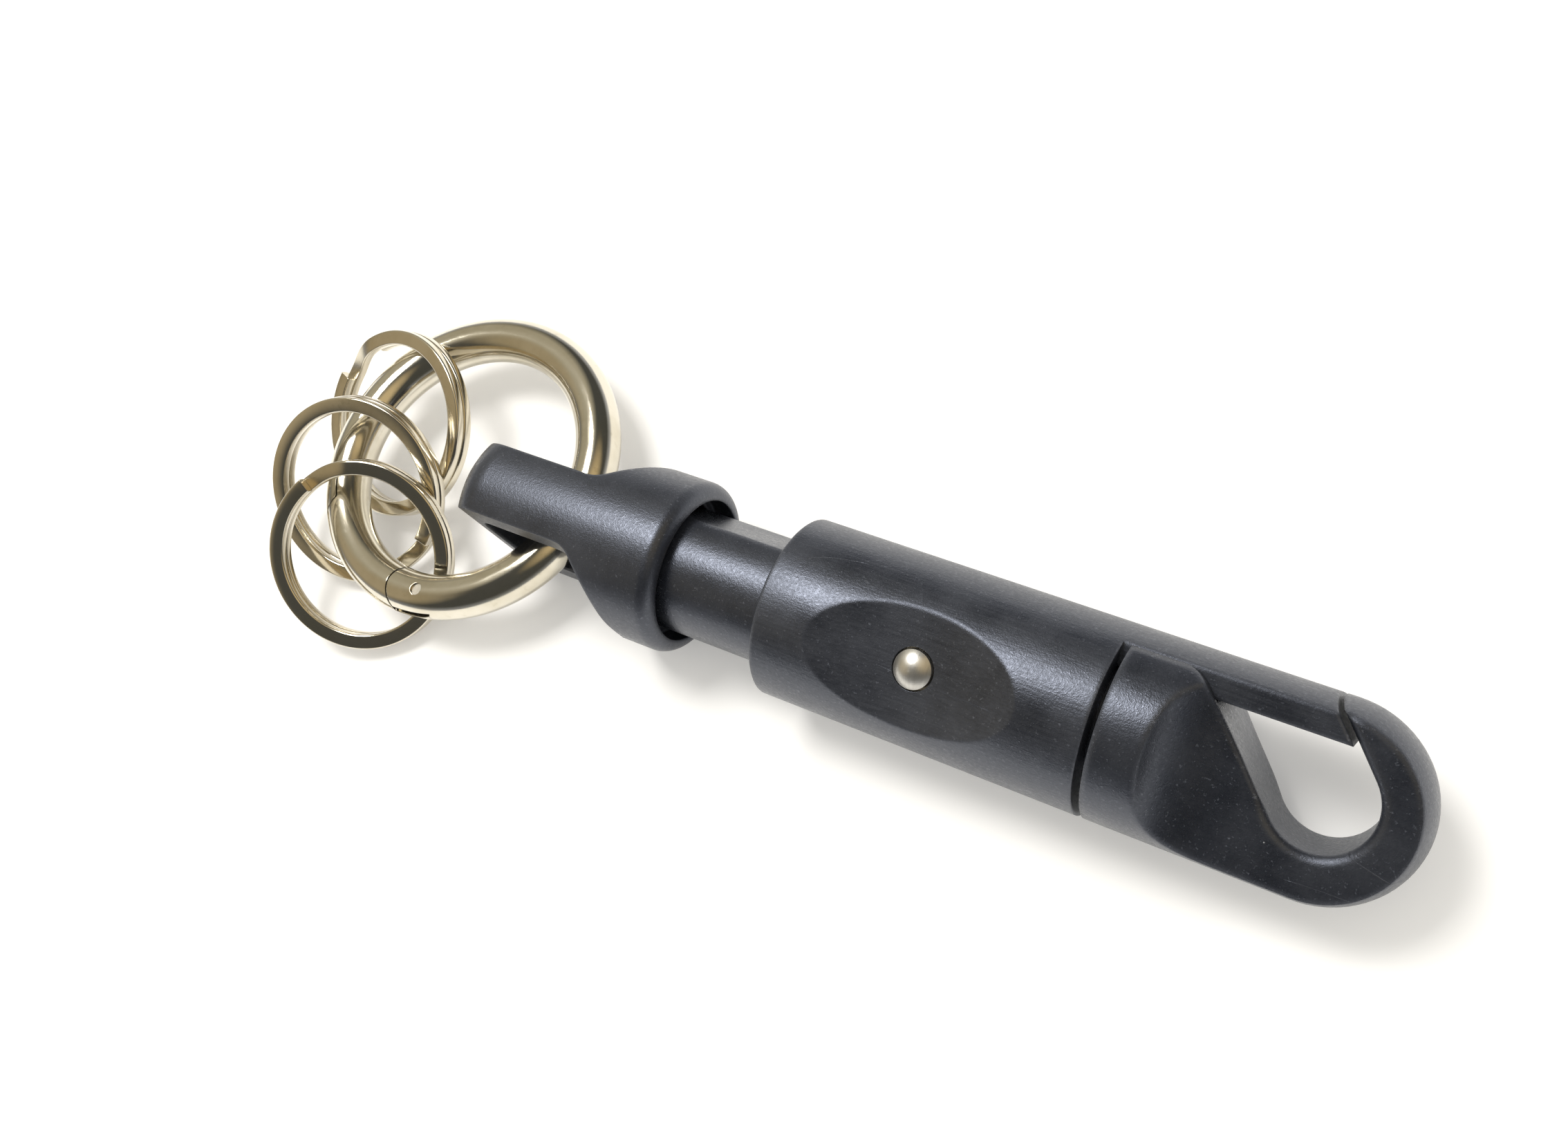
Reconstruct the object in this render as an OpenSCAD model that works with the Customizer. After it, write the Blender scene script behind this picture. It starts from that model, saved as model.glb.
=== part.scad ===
// Belt key clip: a turned hook with a sliding gate sleeve, a swivel cap, a gate ring and three split rings.
// Millimetres. The origin is the centre of the hook's round outer end, +X runs along the clip towards
// the hook and +Z is up from the table that the clip lies on.
// The hook, its sleeve and what is inside them are drawn with the hook's flat faces square to Z, and
// then rolled about the clip's axis into the place where they lie.

// The node to show, or all

/* [Clip] */
// Roll of the hook and sleeve about the clip's axis, in degrees
clip_roll = 25.7; // [0:0.1:60]
// Diameter of the hook, the sleeve and the swivel cap
body_d = 16; // [15.8:0.1:16.4]

/* [Hook] */
// How far round faces run past the faces that they would only touch, so that the two cross
crossing = 0.02; // [0.01:0.01:0.03]
// Thickness between the two milled flat faces of the hook
hook_t = 7.2; // [6.8:0.1:7.6]
// Distance from the end's centre back to where the flat faces start to run out
runout_start = 6.0; // [5.6:0.1:6.4]
// Radius of the cutter that leaves the run-out
runout_r = 7.0; // [6.5:0.1:7.5]
// Radius of the eye, which is half the width of the throat too
eye_r = 4.07; // [3.9:0.01:4.15]
// Place of the eye's centre along the clip
eye_x = 0.10; // [0:0.05:0.3]
// Place of the eye's centre across the clip, towards the gate strip
eye_y = 0.52; // [0.4:0.02:0.6]
// Slant of the throat, in degrees from the clip's axis
throat_angle = 130; // [126:1:134]
// Rounding of the eye's edges
eye_round = 0.7; // [0.4:0.05:0.9]
// Distance from the end's centre back to the shoulder's rear face
shoulder_back = 16.25; // [15.8:0.05:16.6]
// Rounding of the shoulder's corner beside the throat
shoulder_round = 3.0; // [2.6:0.1:3.4]
// Side clearance of the gate strip in its channel
channel_gap = 0.15; // [0.1:0.01:0.2]

/* [Shank] */
// Depth of the flat along the shank
shank_flat_depth = 0.8; // [0.7:0.02:0.9]
// Distance from the end's centre back to the shank's rear face
shank_back = 61.0; // [60.8:0.05:61.1]
// Width of the slot that the carrier block slides in
slot_w = 5.3; // [5.1:0.05:5.5]
// Play of the carrier block at each end of its travel
slot_play = 0.10; // [0.05:0.01:0.15]
// Diameter of the bore for the return spring
spring_bore_d = 6.2; // [6.0:0.05:6.4]
// Edge chamfer at the shank's rear end
shank_chamfer = 0.4; // [0.2:0.05:0.6]

/* [Sleeve] */
// Gap between the sleeve and the hook's shoulder
slit = 0.7; // [0.5:0.05:0.9]
// Length of the sleeve
sleeve_l = 29.0; // [28.6:0.1:29.4]
// How far the sleeve slides back
travel = 9.5; // [9:0.1:9.6]
// Wall of the sleeve round its bore
sleeve_wall = 2.12; // [2.0:0.02:2.2]
// Radial clearance between the sleeve and the shank
slide_gap = 0.08; // [0.05:0.01:0.1]
// Clearance between the sleeve's inner flat and the shank's flat
flat_gap = 0.15; // [0.1:0.01:0.2]
// Width of the gate strip
strip_w = 7.2; // [6.8:0.1:7.4]
// Gap between the strip's end and the hook's tip
tip_gap = 0.38; // [0.3:0.02:0.5]
// Radius of the cutter that leaves the thumb recess
recess_r = 26; // [25:0.5:27]
// Depth of the recess below the sleeve's surface
recess_depth = 1.7; // [1.6:0.01:1.75]
// Distance from the end's centre back to the middle of the recess
recess_back = 31.85; // [31.6:0.05:32.1]
// Edge chamfer at the sleeve's rear end
sleeve_chamfer = 0.15; // [0.1:0.05:0.3]

/* [Button] */
// Diameter of the button's dome
button_d = 3.3; // [3.2:0.05:3.4]
// Diameter of its hole in the sleeve
button_hole_d = 3.65; // [3.55:0.05:3.7]
// How far the dome stands out of the recess
button_proud = 0.9; // [0.8:0.05:1.1]
// Height of the domed part of the button
dome_h = 0.7; // [0.6:0.05:0.85]
// Diameter of the flange that keeps the button in
flange_d = 4.2; // [4.1:0.05:4.25]
// Thickness of the flange
flange_t = 0.8; // [0.7:0.05:0.9]
// Diameter of the pocket under the flange
pocket_d = 4.4; // [4.35:0.01:4.5]
// Height of the pocket's floor above the axis
pocket_floor = 0.9; // [0.8:0.05:1.0]
// Depth of the spring's seat in the underside of the flange
flange_cup = 0.3; // [0.2:0.05:0.4]
// Width of the spring's seat in the underside of the flange
flange_cup_d = 3.4; // [3.3:0.05:3.5]

/* [Carrier] */
// Length of the carrier block along the clip
block_l = 8.0; // [7.8:0.1:8.2]
// Side clearance of the block in its slot
block_gap = 0.05; // [0.03:0.01:0.08]
// Clearance between parts that are fixed in each other
seat_gap = 0.02; // [0.01:0.01:0.03]
// Diameter of the carrier screw's thread
screw_d = 2.5; // [2.4:0.05:2.6]
// Diameter of its countersunk head
screw_head_d = 4.2; // [4.0:0.05:4.3]
// Depth of the head below the sleeve's surface
screw_sink = 0.4; // [0.35:0.05:0.5]
// Height of the screw's rim above its cone
screw_rim = 0.2; // [0.15:0.01:0.25]
// Distance from the axis to the screw's inner end
screw_end = 1.6; // [1.4:0.1:1.8]
// Width across the flats of its hexagon socket
screw_socket = 1.5; // [1.3:0.1:1.6]
// Depth of the hexagon socket
screw_socket_h = 0.9; // [0.7:0.05:1.0]

/* [Springs] */
// Outer diameter of the return spring
return_d = 5.0; // [4.8:0.1:5.2]
// Wire diameter of the return spring
return_wire = 0.6; // [0.5:0.05:0.65]
// Turns of the return spring
return_turns = 12; // [10:1:13]
// Outer diameter of the button's spring
button_spring_d = 3.1; // [3.0:0.05:3.2]
// Wire diameter of the button's spring
button_wire = 0.3; // [0.25:0.05:0.35]
// Turns of the button's spring
button_turns = 4; // [3:1:4]
// Clearance at each end of a spring
spring_end_gap = 0.05; // [0.03:0.01:0.08]

/* [Swivel] */
// Length of the plug in the shank's bore
plug_l = 4.5; // [4.3:0.1:4.6]
// Thickness of the washer behind the shank
washer_t = 1.05; // [1.0:0.01:1.1]
// How far the washer's rim stays inside the shank's surface
washer_step = 0.4; // [0.3:0.05:0.5]
// Clearance along the axis on each side of what turns
turn_gap = 0.05; // [0.04:0.01:0.06]
// Diameter of the swivel screw's plain neck
neck_d = 3.5; // [3.4:0.05:3.6]
// Radial clearance between the neck and the cap
neck_gap = 0.05; // [0.03:0.01:0.07]
// Diameter of the swivel screw's thread
swivel_thread_d = 3.0; // [2.9:0.05:3.1]
// Length of the thread in the plug
swivel_thread_l = 3.6; // [3.4:0.1:3.8]
// Diameter of the swivel screw's head
head_d = 6.0; // [5.9:0.05:6.1]
// Thickness of the head
head_t = 1.7; // [1.6:0.05:1.8]
// Radial clearance round the head
head_gap = 0.2; // [0.15:0.05:0.25]
// Width across the flats of the head's hexagon socket
head_socket = 2.5; // [2.3:0.1:2.6]
// Depth of the head's hexagon socket
head_socket_h = 1.0; // [0.8:0.1:1.1]

/* [Swivel cap] */
// Distance from the end's centre back to the cap's mouth
mouth_back = 56.35; // [56.2:0.05:56.4]
// Rounding of the mouth's outer rim
rim_round = 1.3; // [1.1:0.05:1.35]
// Wall of the cap round the wide part of the mouth
mouth_wall = 1.4; // [1.35:0.05:1.5]
// Depth of the wide part of the mouth
mouth_depth = 2.2; // [2.0:0.1:2.4]
// Distance from the end's centre back to where the cap's shoulder starts
barrel_back = 61.2; // [61:0.1:61.4]
// Rounding of the shoulder's outer corner
barrel_round = 2.0; // [1.8:0.1:2.2]
// Width of the flat loop behind the shoulder
loop_w = 6.8; // [6.6:0.1:7]
// Fillet between the shoulder and the loop
loop_fillet = 2.5; // [2.3:0.1:2.6]
// Distance from the end's centre back to the end of the loop
loop_back = 79.45; // [79.4:0.05:79.6]
// Rounding of the turned edge at the loop's end
loop_corner = 3.5; // [3.3:0.1:3.7]
// Rounding of the loop's end seen from above
loop_edge = 1.6; // [1.4:0.05:1.8]
// Distance from the end's centre back to the near end of the loop's slot
slot_front = 66.75; // [66.7:0.05:66.9]
// Distance from the end's centre back to the far end of the loop's slot
slot_back = 77.15; // [77:0.05:77.3]
// Height of the loop's slot
slot_h = 8.5; // [8.46:0.01:8.7]
// Rounding of the slot's corners
slot_corner = 1.6; // [1.4:0.05:1.8]

/* [Gate ring] */
// Radius of the gate ring, to the middle of its wire
ring_r = 13.95; // [13.9:0.01:14.0]
// Diameter of the ring's wire
wire_d = 4.4; // [4.3:0.02:4.4]
// Distance from the end's centre back to the ring's wire in the loop's slot
wire_back = 72.072; // [72.05:0.002:72.1]
// Place of the ring's centre across the clip
ring_y = 2.69; // [2.6:0.01:2.8]
// Clearance between the ring's wire and the slot's floor that it lies on
wire_rest = 0.08; // [0.05:0.01:0.1]
// Tilt of the ring, its far side down, in degrees
ring_tilt = 0.84; // [0.8:0.01:0.9]
// Place of the gate's pin round the ring, in degrees
pin_angle = 281; // [280:0.5:282]
// Place of the gate's free end round the ring, in degrees
free_angle = 205.5; // [205:0.5:206]
// Diameter of the gate's pin
pin_d = 1.2; // [1.1:0.05:1.3]
// Radial clearance of the gate on its pin
pin_gap = 0.06; // [0.04:0.01:0.08]
// How far the pin's ends lie below the wire's surface
pin_sink = 0.25; // [0.2:0.01:0.3]
// Radius of the fork's end about the pin
fork_r = 3.4; // [3.3:0.05:3.5]
// Gap between the fork's end and the gate's shoulder
fork_gap = 0.15; // [0.12:0.01:0.2]
// Width of the slot in the fork
fork_slot = 1.7; // [1.65:0.01:1.75]
// Radius of the fork's slot behind the pin
fork_root_r = 2.45; // [2.4:0.01:2.5]
// Radius of the tongue's round end about the pin
tongue_r = 2.2; // [2.15:0.01:2.25]
// Thickness of the tongue
tongue_t = 0.8; // [0.75:0.01:0.85]
// Clearance between the tongue and the fork's lower cheek
tongue_gap = 0.05; // [0.03:0.01:0.08]
// Length of the lip that stops the gate
lip_l = 1.8; // [1.6:0.05:2]
// Clearance at the lip and at the gate's free end
lip_gap = 0.15; // [0.12:0.01:0.2]
// Wire diameter of the gate's torsion spring
gate_wire = 0.3; // [0.25:0.05:0.3]
// Outer radius of the gate's torsion spring
gate_spring_r = 1.3; // [1.2:0.05:1.35]
// Length of the torsion spring's legs from the pin
gate_leg = 2.3; // [2.2:0.05:2.35]

/* [Split rings] */
// Outer radius of a split ring
key_r = 9.5; // [9.45:0.01:9.5]
// Width of a split ring's wire
key_w = 1.5; // [1.4:0.02:1.5]
// Thickness of a split ring's two turns together
key_t = 2.0; // [1.9:0.02:2.0]
// Rounding of a split ring's edges
key_round = 0.25; // [0.25:0.01:0.35]
// Depth of the groove between the two turns
key_groove = 0.3; // [0.2:0.02:0.35]
// Width of the groove between the two turns
key_seam = 0.08; // [0.06:0.01:0.12]
// Width of the gap at a turn's end
key_end_gap = 0.5; // [0.4:0.05:0.6]
// How far the first split ring's centre lies inside the middle of the gate ring's wire
key_1_in = 2.818; // [2.8:0.002:2.82]
// How far the second split ring's centre lies inside it
key_2_in = 1.344; // [1.34:0.002:1.35]
// How far the third split ring's centre lies outside it
key_3_out = 0.145; // [0.14:0.001:0.15]
// How far the first split ring's centre lies below the gate ring's centre
key_1_drop = 0.625; // [0.62:0.001:0.625]
// How far the second split ring's centre lies above the gate ring's centre
key_2_rise = 0.312; // [0.312:0.001:0.315]
// How far the third split ring's centre lies below the gate ring's centre
key_3_drop = 0.079; // [0.07:0.001:0.079]

/* [Hidden] */
$fn = 96;
// Length that every cut runs past the solid it cuts
over = 1;
// Corners of a hexagon socket
hex_sides = 6;
body_r = body_d / 2;
bore_r = body_r - sleeve_wall;
shank_r = bore_r - slide_gap;
shank_flat = shank_r - shank_flat_depth;
bore_flat = shank_flat + flat_gap;
sleeve_front = -(shoulder_back + slit);
sleeve_rear = sleeve_front - sleeve_l;
recess_x = -recess_back;
recess_floor = body_r - recess_depth;
block_r = bore_r - seat_gap;
block_front = recess_x + block_l / 2;
block_rear = recess_x - block_l / 2;
plug_front = -(shank_back - plug_l);
// The gate ring's centre, from the place of its wire in the slot
wire_reach = sqrt(pow(ring_r, 2) - pow(ring_y, 2));
ring_back = wire_back + wire_reach;
ring_drop = slot_h / 2 - wire_d / 2 - wire_rest + wire_reach * sin(ring_tilt);
// Places of the split rings round the gate ring, how far they lean and the way that they lean, in degrees
key_angles = [170.85, 210.247, 240.69];
key_leans = [27, 34, 31];
key_lean_ways = [-106, -70, -53.8];
// Ends of each split ring's two turns, in degrees round it
key_ends = [[263, 231], [50, 18], [198, 166]];

// Puts what is drawn square to the axes into the clip's rolled place
module rolled() {
    rotate([clip_roll, 0, 0]) children();
}

// A round bar along the clip's axis between two places
module bar(x0, x1, r) {
    translate([x0, 0, 0]) rotate([0, 90, 0]) cylinder(h = x1 - x0, r = r);
}

// A box between two places along the clip, of a given width, from one height to another
module slab(x0, x1, w, z0, z1) {
    translate([x0, -w / 2, z0]) cube([x1 - x0, w, z1 - z0]);
}

// Moves to the eye's centre with X across the throat towards the hook's tip, and Y out along the throat
module throat_frame() {
    translate([eye_x, eye_y, 0]) rotate([0, 0, throat_angle - 90]) children();
}

// The eye and the throat, cut through the hook
module eye_cut() {
    throat_frame() translate([0, 0, -body_r]) linear_extrude(body_d) {
        circle(r = eye_r);
        translate([-eye_r, 0]) square([eye_r * 2, body_d]);
    }
}

// The rounding of the eye's edge on one face, round the eye and on along the hook's tip
module eye_edge_cut() {
    edge_z = hook_t / 2 - eye_round;
    throat_frame() {
        rotate_extrude() translate([eye_r, edge_z]) eye_edge_section();
        translate([0, body_d, 0]) rotate([90, 0, 0])
            linear_extrude(body_d) translate([eye_r, edge_z]) eye_edge_section();
    }
}

// The section of the eye's edge rounding, beside the wall
module eye_edge_section() {
    difference() {
        translate([-over, 0]) square([eye_round + over, eye_round + over]);
        translate([eye_round, 0]) circle(r = eye_round);
    }
}

// What the milling cutter takes from one face of the hook
module face_cut() {
    translate([-runout_start, 0, hook_t / 2]) {
        slab(0, body_d, body_d + over, 0, body_r);
        translate([0, 0, runout_r]) rotate([90, 0, 0])
            cylinder(h = body_d + over, r = runout_r, center = true);
    }
}

// The shoulder's corner beside the throat, as the waste round its arc
module shoulder_corner_cut() {
    wall_turn = 180 - throat_angle;
    top_y = sqrt(pow(body_r, 2) - pow(strip_w / 2 + channel_gap, 2));
    wall_dx = (top_y - eye_y) / tan(throat_angle) - eye_r / sin(throat_angle);
    corner_x = eye_x + wall_dx;
    arc_back = shoulder_round / tan((180 - wall_turn) / 2);
    translate([corner_x, top_y, -body_r]) linear_extrude(body_d) difference() {
        polygon([
            [-arc_back, 0],
            [-arc_back, over],
            [over, over],
            [over, 0],
            [arc_back * cos(wall_turn), -arc_back * sin(wall_turn)]
        ]);
        translate([-arc_back, -shoulder_round]) circle(r = shoulder_round + crossing);
    }
}

// The hook in one piece with its shoulder and the flatted shank
module hook_body() color("#26272b") rolled() difference() {
    union() {
        bar(-shoulder_back, 0, body_r);
        sphere(r = body_r);
        shank();
    }
    face_cut();
    mirror([0, 0, 1]) face_cut();
    eye_cut();
    eye_edge_cut();
    mirror([0, 0, 1]) eye_edge_cut();
    shoulder_corner_cut();
    // The strip's channel through the shoulder
    translate([-shoulder_back - over, shank_flat, -strip_w / 2 - channel_gap])
        cube([shoulder_back + over + eye_x - 2 * eye_r, body_r, strip_w + 2 * channel_gap]);
    // The slot for the carrier block, through both sides of the shank
    slab(block_rear - travel - slot_play, block_front + slot_play, slot_w, -body_r, body_r);
    // The bore for the return spring and the plug
    bar(-shank_back - over, block_rear, spring_bore_d / 2);
}

// The shank behind the shoulder, with its flat and the chamfer at its end
module shank() {
    difference() {
        union() {
            bar(-shank_back + shank_chamfer, -shoulder_back + over, shank_r);
            translate([-shank_back, 0, 0]) rotate([0, 90, 0])
                cylinder(h = shank_chamfer, r1 = shank_r - shank_chamfer, r2 = shank_r);
        }
        translate([-shank_back - over, shank_flat, -body_r])
            cube([shank_back - shoulder_back + over, body_r, body_d]);
    }
}

// The sleeve with its thumb recess, and the gate strip in one piece with it
module sleeve() color("#242529") rolled() difference() {
    union() {
        bar(sleeve_rear + sleeve_chamfer, sleeve_front, body_r);
        translate([sleeve_rear, 0, 0]) rotate([0, 90, 0])
            cylinder(h = sleeve_chamfer, r1 = body_r - sleeve_chamfer, r2 = body_r);
        gate_strip();
    }
    // The bore, round with one flat side
    difference() {
        bar(sleeve_rear - over, sleeve_front + over, bore_r);
        translate([sleeve_rear - 2 * over, bore_flat, -body_r])
            cube([sleeve_l + 4 * over, body_r, body_d]);
    }
    translate([recess_x, 0, recess_floor + recess_r]) rotate([90, 0, 0])
        cylinder(h = body_d + over, r = recess_r, center = true);
    translate([recess_x, 0, 0]) cylinder(h = body_r, r = button_hole_d / 2);
    carrier_screw_cut();
}

// The strip that closes the throat, cut at its end along the hook's tip
module gate_strip() {
    intersection() {
        bar(sleeve_front - over, body_r, body_r);
        translate([sleeve_front - over, bore_flat + crossing, -strip_w / 2])
            cube([body_r - sleeve_front + over, body_r, strip_w]);
        throat_frame() translate([eye_r - tip_gap - body_d * 2, -body_d * 2, -body_r])
            cube([body_d * 2, body_d * 4, body_d]);
    }
}

// Height of the carrier screw's flat top, and of the foot of its cone, both below the axis
screw_top = -(sqrt(pow(body_r, 2) - pow(screw_head_d / 2, 2)) - screw_sink);
screw_cone = screw_top + screw_rim;
screw_foot = screw_cone + (screw_head_d - screw_d) / 2;

// The countersunk hole for the carrier screw in the sleeve's back
module carrier_screw_cut() {
    head_r = screw_head_d / 2 + seat_gap;
    translate([recess_x, 0, 0]) {
        translate([0, 0, -body_r - over]) cylinder(h = screw_cone + body_r + over, r = head_r);
        translate([0, 0, screw_cone])
            cylinder(h = screw_foot - screw_cone, r1 = head_r, r2 = screw_d / 2 + seat_gap);
        translate([0, 0, -body_r]) cylinder(h = body_r, r = screw_d / 2 + seat_gap);
    }
}

// The block that slides in the shank's slot and carries the sleeve, the button and its spring
module carrier_block() color("#8f9296") rolled() difference() {
    intersection() {
        slab(block_rear, block_front, slot_w - 2 * block_gap, -body_r, body_r);
        bar(block_rear, block_front, block_r);
    }
    translate([recess_x, 0, pocket_floor]) cylinder(h = body_r, r = pocket_d / 2);
    translate([recess_x, 0, -body_r]) cylinder(h = body_r - screw_end, r = screw_d / 2);
}

// The countersunk screw that holds the sleeve on the block
module carrier_screw() color("#6f7276") rolled() translate([recess_x, 0, 0]) difference() {
    union() {
        translate([0, 0, screw_top]) cylinder(h = screw_rim, r = screw_head_d / 2);
        translate([0, 0, screw_cone])
            cylinder(h = screw_foot - screw_cone, r1 = screw_head_d / 2, r2 = screw_d / 2);
        translate([0, 0, screw_foot]) cylinder(h = -screw_end - screw_foot, r = screw_d / 2);
    }
    translate([0, 0, screw_top - over])
        cylinder(h = screw_socket_h + over, d = screw_socket / cos(180 / hex_sides), $fn = hex_sides);
}

// Heights of the button's flange, which lies under the sleeve's thin wall, and of its dome
flange_top = sqrt(pow(bore_r, 2) - pow(flange_d / 2, 2)) - seat_gap;
button_top = recess_floor + button_proud;

// The domed push button with the flange that keeps it in the sleeve
module push_button() color("#a9a7a2") rolled() translate([recess_x, 0, 0]) {
    stem_r = button_d / 2;
    dome_r = (pow(stem_r, 2) + pow(dome_h, 2)) / (2 * dome_h);
    intersection() {
        translate([0, 0, flange_top - seat_gap])
            cylinder(h = button_top - flange_top + over, r = stem_r);
        translate([0, 0, button_top - dome_r]) union() {
            sphere(r = dome_r);
            translate([0, 0, -body_r]) cylinder(h = body_r + dome_r - dome_h, r = dome_r);
        }
    }
    difference() {
        translate([0, 0, flange_top - flange_t]) cylinder(h = flange_t, r = flange_d / 2);
        translate([0, 0, flange_top - flange_t - over])
            cylinder(h = flange_cup + over, r = flange_cup_d / 2);
    }
}

// A wound spring along Z from zero: one tube swept along its helix
spring_sides = 6;
spring_steps = 10;
module coil(d, wire, turns, l) {
    mean_r = (d - wire) / 2;
    rise = l - wire;
    rings = turns * spring_steps;
    slope = atan(rise / turns / (2 * PI * mean_r));
    function ring_point(i, k) = let(
        a = 360 * i / spring_steps,
        b = 360 * k / spring_sides,
        out = mean_r + wire / 2 * cos(b),
        side = -wire / 2 * sin(b) * sin(slope)
    ) [
        out * cos(a) - side * sin(a),
        out * sin(a) + side * cos(a),
        wire / 2 + rise * i / rings + wire / 2 * sin(b) * cos(slope)
    ];
    points = [for (i = [0 : rings], k = [0 : spring_sides - 1]) ring_point(i, k)];
    function at(i, k) = i * spring_sides + k % spring_sides;
    polyhedron(points, concat(
        [[for (k = [0 : spring_sides - 1]) at(0, k)]],
        [[for (k = [spring_sides - 1 : -1 : 0]) at(rings, k)]],
        [for (i = [0 : rings - 1], k = [0 : spring_sides - 1])
            each [[at(i, k), at(i + 1, k), at(i + 1, k + 1)], [at(i, k), at(i + 1, k + 1), at(i, k + 1)]]]
    ));
}

// The spring under the push button
module button_spring() color("#b9bbbd") rolled() translate([recess_x, 0, pocket_floor + spring_end_gap])
    coil(button_spring_d, button_wire, button_turns,
        flange_top - flange_t + flange_cup - pocket_floor - 2 * spring_end_gap);

// The spring that pushes the sleeve shut
module return_spring() color("#b9bbbd") rolled() translate([plug_front + spring_end_gap, 0, 0])
    rotate([0, 90, 0]) coil(return_d, return_wire, return_turns, block_rear - plug_front - 2 * spring_end_gap);

// The plug pressed into the shank's end
module end_plug() color("#9a8455") difference() {
    bar(-shank_back, plug_front, spring_bore_d / 2);
    bar(-shank_back - over, -shank_back + swivel_thread_l, swivel_thread_d / 2);
}

// Places along the axis of what the swivel is stacked from
washer_rear = -shank_back - washer_t;
cap_floor = washer_rear - turn_gap;
seat_x = -slot_front + head_t + turn_gap * 2;

// The washer that the cap's floor turns on
module swivel_washer() color("#c8c4b8") difference() {
    bar(washer_rear, -shank_back, shank_r - washer_step);
    bar(washer_rear - over, -shank_back + over, neck_d / 2 + neck_gap);
}

// The screw that holds the cap on the shank and lets it turn
module swivel_screw() color("#75787c") difference() {
    union() {
        bar(seat_x - turn_gap - head_t, seat_x - turn_gap, head_d / 2);
        bar(seat_x - turn_gap, -shank_back, neck_d / 2);
        bar(-shank_back, -shank_back + swivel_thread_l, swivel_thread_d / 2);
    }
    translate([seat_x - turn_gap - head_t - over, 0, 0]) rotate([0, 90, 0])
        cylinder(h = head_socket_h + over, d = head_socket / cos(180 / hex_sides), $fn = hex_sides);
}

// The cap's outline seen from above, one half of it, towards +Y
module cap_plan_half() {
    flat_y = loop_w / 2;
    fall = body_r - flat_y;
    bend = tan(22.5);
    foot_x = -barrel_back - fall;
    end_x = -loop_back;
    difference() {
        polygon([
            [-mouth_back, 0],
            [-mouth_back, body_r],
            [-barrel_back + barrel_round * bend, body_r],
            [-barrel_back - barrel_round * bend * cos(45), body_r - barrel_round * bend * sin(45)],
            [foot_x + loop_fillet * bend * cos(45), flat_y + loop_fillet * bend * sin(45)],
            [foot_x - loop_fillet * bend, flat_y],
            [end_x + loop_edge, flat_y],
            [end_x, flat_y - loop_edge],
            [end_x, 0]
        ]);
        translate([foot_x - loop_fillet * bend, flat_y + loop_fillet]) circle(r = loop_fillet);
    }
    intersection() {
        translate([-barrel_back + barrel_round * bend, body_r - barrel_round]) circle(r = barrel_round);
        translate([-loop_back, 0]) square([loop_back - mouth_back, body_r]);
    }
    translate([end_x + loop_edge, flat_y - loop_edge]) circle(r = loop_edge);
}

// The loop's slot seen from the side, with round corners
module cap_slot() {
    l = slot_back - slot_front;
    translate([-slot_back + slot_corner, -slot_h / 2]) square([l - 2 * slot_corner, slot_h]);
    translate([-slot_back, -slot_h / 2 + slot_corner]) square([l, slot_h - 2 * slot_corner]);
    for (x = [-slot_back + slot_corner, -slot_front - slot_corner], side = [-1, 1]) {
        translate([x, side * (slot_h / 2 - slot_corner)]) circle(r = slot_corner);
    }
}

// A turned edge: a ring of round section that rounds the end of a bar
module turned_edge(x, r, round) {
    translate([x, 0, 0]) rotate([0, 90, 0]) rotate_extrude()
        translate([r - round, 0]) circle(r = round);
}

// The cap's turned form, with a round edge at the mouth and a larger one at the loop's end
module cap_barrel() {
    rim_x = -mouth_back - rim_round;
    end_x = -loop_back + loop_corner;
    bar(end_x, rim_x, body_r);
    bar(rim_x - over, -mouth_back, body_r - rim_round);
    bar(-loop_back, end_x + over, body_r - loop_corner);
    turned_edge(rim_x, body_r, rim_round);
    turned_edge(end_x, body_r, loop_corner);
}

// The swivel cap, with its mouth round the shank and its loop for the gate ring
module swivel_cap() color("#26272b") difference() {
    intersection() {
        cap_barrel();
        translate([0, 0, -body_r]) linear_extrude(body_d) {
            cap_plan_half();
            mirror([0, 1]) cap_plan_half();
        }
    }
    bar(-mouth_back - mouth_depth, -mouth_back + over, body_r - mouth_wall);
    bar(cap_floor, -mouth_back, bore_r);
    bar(-slot_front - over, cap_floor + over, neck_d / 2 + neck_gap);
    bar(-slot_front - over, seat_x, head_d / 2 + head_gap);
    rotate([90, 0, 0]) linear_extrude(body_d, center = true) cap_slot();
}

// Moves to the gate ring's centre, with Z along the ring's own axis
module ring_frame() {
    translate([-ring_back, ring_y, -ring_drop]) rotate([0, -ring_tilt, 0]) children();
}

// Moves to the gate's pin, with X outwards from the ring's centre
module pin_frame() {
    rotate([0, 0, pin_angle]) translate([ring_r, 0, 0]) children();
}

// A stretch of the ring's wire from one angle to another
module wire_arc(a0, a1) {
    rotate([0, 0, a0]) rotate_extrude(angle = a1 - a0) translate([ring_r, 0]) circle(d = wire_d);
}

// A disc about the gate's pin
module pin_disc(r, h) {
    pin_frame() cylinder(h = h, r = r, center = true);
}

// Distance from the pin to the middle of the gate's free end
reach = 2 * ring_r * sin((pin_angle - free_angle) / 2);
// Angle of wire beyond each end of the gate and of the ring, which the cuts then take away
spare_angle = 15;
// Height of the tongue's lower face
tongue_low = -fork_slot / 2 + tongue_gap;

// The inner half of the wire near the gate's free end, out to a radius from the ring's centre
module inner_half(r) {
    intersection() {
        cylinder(h = wire_d + over, r = r, center = true);
        free_block();
    }
}

// A block round the gate's free end
module free_block() {
    rotate([0, 0, free_angle]) translate([ring_r, 0, 0]) cube(body_r * 2, center = true);
}

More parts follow.
